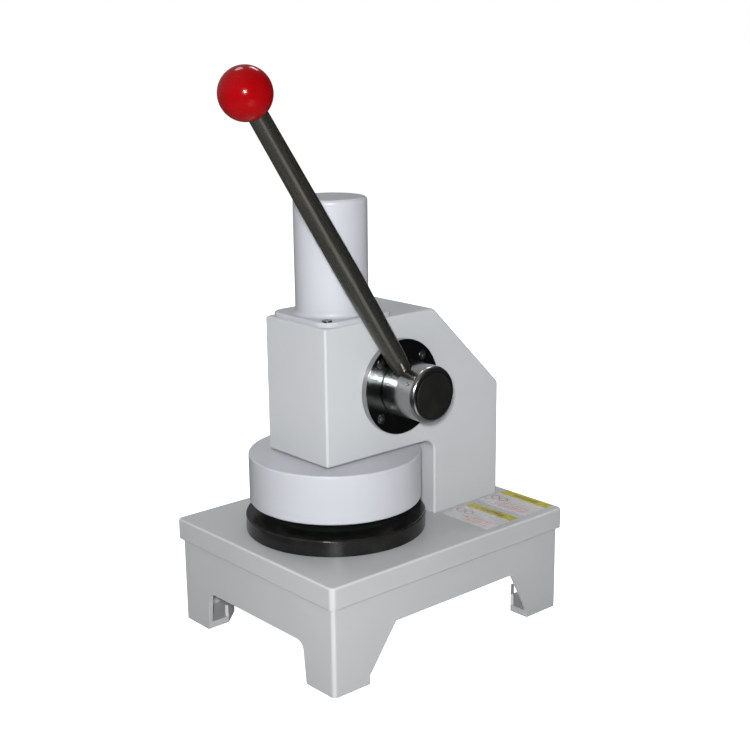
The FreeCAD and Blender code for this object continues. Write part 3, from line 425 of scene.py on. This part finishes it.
def finish_nodes():
    casting = enamel("casting_enamel", grey(0.50, (0.97, 1.0, 1.03)), 0.36, 0.7, 0.6)
    table = enamel("table_enamel", grey(0.43, (0.98, 1.0, 1.02)), 0.36, 0.7, 0.8, highlight_edges=True)
    white = enamel("head_enamel", grey(0.465, (0.97, 0.99, 1.07)), 0.34, 0.2, 0.0)
    flange_face = Vector((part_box("bearing_flange")[1][0], HUB_AXIS.y, HUB_AXIS.z))
    hub_steel = turned_metal("hub_steel", grey(0.40), 0.20, HUB_AXIS, X_WAY, FINE_TURNING)
    # The dark colour is the flange face's painted reflection of a dark room
    flange_steel = turned_metal("flange_steel", STEEL, 0.18, flange_face, X_WAY, FINE_TURNING,
                                dark=grey(0.16, (0.92, 1.0, 0.98)),
                                bright_beyond=FLANGE_RADIUS - FLANGE_RIM)
    disc_steel = turned_metal("disc_steel", STEEL, 0.30, RAM_AXIS, Z_WAY, PLAIN_TURNING)
    knife_steel = turned_metal("knife_steel", grey(0.45), 0.22, RAM_AXIS, Z_WAY, FINE_TURNING)
    bronze = turned_metal("bush_bronze", BRONZE, 0.34, RAM_AXIS, Z_WAY, PLAIN_TURNING)
    shaft_bronze = turned_metal("shaft_bronze", BRONZE, 0.34, HUB_AXIS, X_WAY, PLAIN_TURNING)
    ground = plain_metal("ground_steel", grey(0.50), 0.28, grey(0.20, (1.0, 0.92, 0.8)))
    screws = plain_metal("screw_steel", grey(0.20), 0.34, grey(0.06), SCREW_STAINS)
    bright_screws = plain_metal("bright_screw_steel", grey(0.55), 0.22, grey(0.25), SCREW_STAINS)
    spring = plain_metal("spring_wire", grey(0.30), 0.35, grey(0.12, (1.0, 0.9, 0.75)))
    brass = plain_metal("insert_brass", BRASS, 0.30, BRASS_STAIN)
    plug = moulded("plug_black", grey(0.008, (1.0, 1.05, 0.88)), 0.42, 0.03 * MM)
    mat = moulded("mat_rubber", grey(0.010, (0.9, 1.1, 0.95)), 0.62, 0.06 * MM)
    paint_node(casting, "body_casting")
    paint_node(table, "table_top", "table_skirt", "leg_shoes", "corner_blocks")
    paint_node(white, "press_head", "top_cover")
    paint_node(hub_steel, "hub")
    paint_node(flange_steel, "bearing_flange")
    paint_node(disc_steel, "knife_holder", "ejector_plate", "spring_seat", "spring_collar")
    paint_node(knife_steel, "knife_ring")
    paint_node(bronze, "lower_ram_bush", "upper_ram_bush")
    paint_node(shaft_bronze, "inner_shaft_bush", "outer_shaft_bush", "thrust_washer")
    paint_node(ground, "ram", "ram_spindle", "pinion_shaft", "ejector_pins", "hub_key")
    paint_node(screws, "table_screws", "column_washers", "column_bolts", "lock_nuts",
               "hub_washer", "hub_screw", "head_washer", "head_bolt", "knife_screws",
               "anvil_screws", "cover_screws")
    paint_node(bright_screws, "flange_screws", "hub_set_screw")
    # The coils made below are copies of these two meshes, with this finish
    paint_node(spring, "return_spring", "ejector_springs")
    paint_node(brass, "knob_insert")
    paint_node(plug, "hub_end_plug")
    paint_node(mat, "cutting_mat")
    paint_node(anvil_black(), "anvil_disc")
    paint_node(lever_gunmetal(), "lever_rod")
    paint_node(knob_red(), "ball_knob")


# ---- Labels ----

LABEL_CORNER = 2.0 * MM
LABEL_FILM = 0.18 * MM
LABEL_GAP = 0.02 * MM
LABEL_CORNER_STEPS = 6
# Layout across and along a label, as shares of its size, each from and to
PANEL_X, PANEL_Y = (0.30, 0.97), (0.06, 0.40)
BARS_X, BARS_Y = (0.34, 0.90), (0.10, 0.40)
BAR_ROWS = 11.0
BAR_IN_ROW = (0.30, 0.62)
BAND_Y = (0.73, 0.995)
STRIP_X, STRIP_Y = (0.26, 0.76), (0.80, 0.92)
RING_Y = 0.46
RING_RADII = (3.6 * MM, 5.0 * MM)
FILM_CLEAR = grey(0.55)
BLUSH_DEEP, BLUSH_PALE = (0.666, 0.5, 0.536, 1), (0.684, 0.555, 0.574, 1)
BAR_COLOUR = (0.407, 0.241, 0.259, 1)
YELLOW_DEEP, YELLOW_PALE = (0.40, 0.35, 0.024, 1), (0.52, 0.455, 0.048, 1)
STRIP_COLOUR = (0.13, 0.102, 0.0185, 1)
# Where each ring stands across the label, and its colour
RINGS = ((0.10, (0.40, 0.11, 0.15, 1)), (0.27, (0.20, 0.17, 0.17, 1)))


def label_boxes():
    """The plan boxes of the two label films, front one first."""
    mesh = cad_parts["rear_labels"].data
    ys = sorted({round(v.co.y, 6) for v in mesh.vertices})
    boxes = []
    for low_y, high_y in ((ys[0], ys[1]), (ys[2], ys[3])):
        xs = [v.co.x for v in mesh.vertices if low_y - 1e-5 <= v.co.y <= high_y + 1e-5]
        boxes.append((min(xs), max(xs), low_y, high_y))
    return boxes


def rounded_outline(low_x, high_x, low_y, high_y, radius):
    corners = [(high_x - radius, high_y - radius, 0), (low_x + radius, high_y - radius, 90),
               (low_x + radius, low_y + radius, 180), (high_x - radius, low_y + radius, 270)]
    points = []
    for x, y, start in corners:
        for i in range(LABEL_CORNER_STEPS + 1):
            angle = math.radians(start + 90 * i / LABEL_CORNER_STEPS)
            points.append((x + radius * math.cos(angle), y + radius * math.sin(angle)))
    return points


def label_material(name, low_x, high_x, low_y, high_y):
    """Vinyl film with a yellow band, a blush panel, rings and plain bars in place of any print."""
    film = Finish(name)
    x = film.span(film.axes()["X"], low_x, high_x)
    y = film.span(film.axes()["Y"], low_y, high_y)

    def inside(value, limits):
        above = film.math("GREATER_THAN", value, limits[0])
        below = film.math("LESS_THAN", value, limits[1])
        return film.math("MULTIPLY", above, below)

    cloud = film.noise(140.0, 4.0)
    tone = film.span(cloud, 0.3, 0.7)
    blush = film.mix(tone, BLUSH_DEEP, BLUSH_PALE)
    panel = film.math("MULTIPLY", inside(y, PANEL_Y), inside(x, PANEL_X))
    shade = film.mix(film.math("MULTIPLY", panel, 0.6), FILM_CLEAR, blush)
    rows = film.math("FRACT", film.math("MULTIPLY", y, BAR_ROWS))
    bars = film.math("MULTIPLY", inside(rows, BAR_IN_ROW), inside(x, BARS_X))
    bars = film.math("MULTIPLY", bars, inside(y, BARS_Y))
    shade = film.mix(film.math("MULTIPLY", bars, 0.7), shade, BAR_COLOUR)
    shade = film.mix(inside(y, BAND_Y), shade, film.mix(tone, YELLOW_DEEP, YELLOW_PALE))
    strip = film.math("MULTIPLY", inside(y, STRIP_Y), inside(x, STRIP_X))
    strip = film.math("MULTIPLY", strip, film.span(film.noise(900.0), 0.4, 0.6, 0.3, 0.8))
    shade = film.mix(strip, shade, STRIP_COLOUR)
    for ring_x, ring_colour in RINGS:
        spot_x = film.math("MULTIPLY", film.math("SUBTRACT", x, ring_x), high_x - low_x)
        spot_y = film.math("MULTIPLY", film.math("SUBTRACT", y, RING_Y), high_y - low_y)
        spot = film.vector("LENGTH", film.combined(spot_x, spot_y))
        shade = film.mix(film.math("MULTIPLY", inside(spot, RING_RADII), 0.8), shade, ring_colour)
    relief = film.bump(film.noise(60.0, 2.0), 0.15 * MM, 0.3)
    return film.set(Base_Color=shade, Roughness=film.span(cloud, 0.3, 0.7, 0.22, 0.32), Normal=relief,
                    Coat_Weight=0.4, Coat_Roughness=0.08)


def make_labels():
    for index, (low_x, high_x, low_y, high_y) in enumerate(label_boxes()):
        mesh = bmesh.new()
        outline = rounded_outline(low_x, high_x, low_y, high_y, LABEL_CORNER)
        low_z = TABLE_HEIGHT + LABEL_GAP
        face = mesh.faces.new([mesh.verts.new((x, y, low_z)) for x, y in outline])
        grown = bmesh.ops.extrude_face_region(mesh, geom=[face])
        top = [v for v in grown["geom"] if isinstance(v, bmesh.types.BMVert)]
        bmesh.ops.translate(mesh, vec=(0, 0, LABEL_FILM), verts=top)
        bmesh.ops.recalc_face_normals(mesh, faces=mesh.faces)
        name = "label_film_front" if index == 0 else "label_film_rear"
        data = bpy.data.meshes.new(name)
        mesh.to_mesh(data)
        mesh.free()
        piece = bpy.data.objects.new(name, data)
        bpy.context.scene.collection.objects.link(piece)
        data.materials.append(label_material(name, low_x, high_x, low_y, high_y))
        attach(piece, "frame")
        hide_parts("rear_labels")


# ---- Springs ----


def make_spring(node, body, fixed_end):
    """A copy of the CAD spring's coils, carried by its body, in place of the CAD spring."""
    low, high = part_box(node)
    name = node + "_coils"
    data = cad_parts[node].data.copy()
    data.name = name
    piece = bpy.data.objects.new(name, data)
    bpy.context.scene.collection.objects.link(piece)
    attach(piece, body)
    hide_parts(node)
    tuple(fixed_end(low, high))
    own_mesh(piece)


def make_springs():
    make_spring("return_spring", "frame", lambda low, high: low)
    make_spring("ejector_springs", "ram", lambda low, high: high)


# ---- Studio ----

FLOOR_RADIUS = 60.0
# The floor looks this much lighter to the camera, so that it runs into the white backdrop
FLOOR_LIFT = 0.97


def floor_material():
    pale = Finish("floor_paper")
    shade = pale.mix(pale.span(pale.noise(2.0, 3.0), 0.3, 0.7), grey(0.64), grey(0.66))
    relief = pale.bump(pale.noise(500.0), 0.02 * MM, 0.2)
    seen = pale.add("ShaderNodeLightPath").outputs["Is Camera Ray"]
    return pale.set(Base_Color=shade, Roughness=0.9, Normal=relief, Emission_Color=grey(1.0),
                    Emission_Strength=pale.math("MULTIPLY", seen, FLOOR_LIFT))


def make_floor():
    mesh = bmesh.new()
    bmesh.ops.create_circle(mesh, cap_ends=True, radius=FLOOR_RADIUS, segments=96)
    data = bpy.data.meshes.new("floor")
    mesh.to_mesh(data)
    mesh.free()
    floor = bpy.data.objects.new("floor", data)
    floor.location.z = cad_bounds[0][2]
    bpy.context.scene.collection.objects.link(floor)
    data.materials.append(floor_material())
    floor.visible_glossy = False


# Lights aim at this share of the object's height
LIGHT_AIM = 0.45


def way_to(azimuth, elevation):
    """The direction at these degrees: azimuth 0 is the object's front, and 90 its right."""
    level = math.cos(math.radians(elevation))
    around = math.radians(azimuth)
    return Vector((math.sin(around) * level, -math.cos(around) * level, math.sin(math.radians(elevation))))


def area_light(name, azimuth, elevation, distance, size, power):
    """A soft box of that width and height, aimed at the middle of the object."""
    target = Vector((0, 0, cad_bounds[1][2] * LIGHT_AIM))
    way = way_to(azimuth, elevation)
    data = bpy.data.lights.new(name, "AREA")
    data.shape = "RECTANGLE"
    data.size = size[0]
    data.size_y = size[1]
    data.energy = power
    light = bpy.data.objects.new(name, data)
    bpy.context.scene.collection.objects.link(light)
    turn = way.to_track_quat("Z", "Y").to_matrix().to_4x4()
    light.matrix_world = Matrix.Translation(target + way * distance) @ turn
    return light


# What diffuse surfaces receive from all around, and what the camera sees behind the floor
ROOM_FILL = 0.11
ROOM_BACKDROP = 1.0
# Reflections see a dim room with one bright side, to the left of the object's front, and a pale floor
ROOM_DARK = 0.03
ROOM_BRIGHT = 0.4
ROOM_BRIGHT_AZIMUTH = -62
ROOM_BRIGHT_ELEVATION = 42
ROOM_BRIGHT_FROM = -0.1
ROOM_FLOOR = 0.22
ROOM_FLOOR_FROM, ROOM_FLOOR_FULL = -0.35, -0.7
# The room dims to this share in a band around just under eye level
ROOM_HORIZON = 0.55
ROOM_HORIZON_BELOW = 0.22
ROOM_HORIZON_SPREAD = 0.25
# A patch of glare on that floor, to the right of the object, draws the streak along the lever
GLARE_WAY = Vector((0.78, -0.13, -0.61))
GLARE = 1.3
GLARE_FROM, GLARE_FULL = 0.955, 0.985


def make_world():
    """An even white studio for soft light, with a darker room in it for the metal to reflect."""
    world = bpy.data.worlds.new("studio")
    bpy.context.scene.world = world
    world.use_nodes = True
    tree = world.node_tree
    background = tree.nodes["Background"]
    background.inputs["Color"].default_value = (1.0, 1.0, 1.0, 1.0)
    rays = tree.nodes.new("ShaderNodeLightPath").outputs

    def node(kind, *values, **settings):
        made = tree.nodes.new(kind)
        for key, value in settings.items():
            setattr(made, key, value)
        for socket, value in zip(made.inputs, values):
            if isinstance(value, bpy.types.NodeSocket):
                tree.links.new(value, socket)
            else:
                socket.default_value = value
        return made

    way = tree.nodes.new("ShaderNodeTexCoord").outputs["Generated"]
    bright_way = tuple(way_to(ROOM_BRIGHT_AZIMUTH, ROOM_BRIGHT_ELEVATION))
    facing = node("ShaderNodeVectorMath", way, bright_way, operation="DOT_PRODUCT").outputs["Value"]
    room = node("ShaderNodeMapRange", facing, ROOM_BRIGHT_FROM, 1.0, ROOM_DARK, ROOM_BRIGHT,
                interpolation_type="SMOOTHSTEP").outputs[0]
    height = node("ShaderNodeSeparateXYZ", way).outputs["Z"]
    above_band = node("ShaderNodeMath", height, ROOM_HORIZON_BELOW).outputs[0]
    from_band = node("ShaderNodeMath", above_band, operation="ABSOLUTE").outputs[0]
    horizon = node("ShaderNodeMapRange", from_band, 0.0, ROOM_HORIZON_SPREAD, ROOM_HORIZON, 1.0).outputs[0]
    room = node("ShaderNodeMath", room, horizon, operation="MULTIPLY").outputs[0]
    floor = node("ShaderNodeMapRange", height, ROOM_FLOOR_FROM, ROOM_FLOOR_FULL, 0.0, ROOM_FLOOR).outputs[0]
    room = node("ShaderNodeMath", room, floor, operation="MAXIMUM").outputs[0]
    toward_glare = node("ShaderNodeVectorMath", way, tuple(GLARE_WAY), operation="DOT_PRODUCT")
    glare = node("ShaderNodeMapRange", toward_glare.outputs["Value"], GLARE_FROM, GLARE_FULL, 0.0, GLARE)
    room = node("ShaderNodeMath", room, glare.outputs[0], operation="MAXIMUM").outputs[0]
    reflected = node("ShaderNodeMapRange", rays["Is Glossy Ray"], 0.0, 1.0, ROOM_FILL, room).outputs[0]
    seen = node("ShaderNodeMapRange", rays["Is Camera Ray"], 0.0, 1.0, reflected, ROOM_BACKDROP).outputs[0]
    tree.links.new(seen, background.inputs["Strength"])


# The flash lights the object, and its spark, a little higher, is what the polished parts reflect
FLASH_AZIMUTH = 49
FLASH_ELEVATION, SPARK_ELEVATION = 17, 20
FLASH_DISTANCE = 1.32
FLASH_SIZE, SPARK_SIZE = (0.08, 0.08), (0.15, 0.15)
FLASH_POWER, SPARK_POWER = 20, 13
ROOM_DISTANCE = 2.2
FILL_SIZE = (0.6, 0.4)
# Azimuth, elevation and power of each fill, which no reflection shows
FILLS = ((-8, 62, 6), (95, 62, 2), (-100, 10, 10), (175, 10, 10))
CEILING_SIZE = (0.5, 0.4)


def make_studio():
    make_floor()
    make_world()
    flash = area_light("flash", FLASH_AZIMUTH, FLASH_ELEVATION, FLASH_DISTANCE, FLASH_SIZE, FLASH_POWER)
    flash.visible_glossy = False
    spark = area_light("flash_spark", FLASH_AZIMUTH, SPARK_ELEVATION, FLASH_DISTANCE,
                       SPARK_SIZE, SPARK_POWER)
    spark.visible_diffuse = False
    for azimuth, elevation, power in FILLS:
        fill = area_light("soft_fill", azimuth, elevation, ROOM_DISTANCE, FILL_SIZE, power)
        fill.visible_glossy = False
    area_light("ceiling_left", -99, 62, ROOM_DISTANCE, CEILING_SIZE, 6)
    area_light("ceiling_rear", -145, 49, ROOM_DISTANCE, CEILING_SIZE, 6.5)


bpy.context.scene.view_settings.view_transform = "Standard"
make_camera()
finish_nodes()
make_labels()
make_springs()
make_studio()
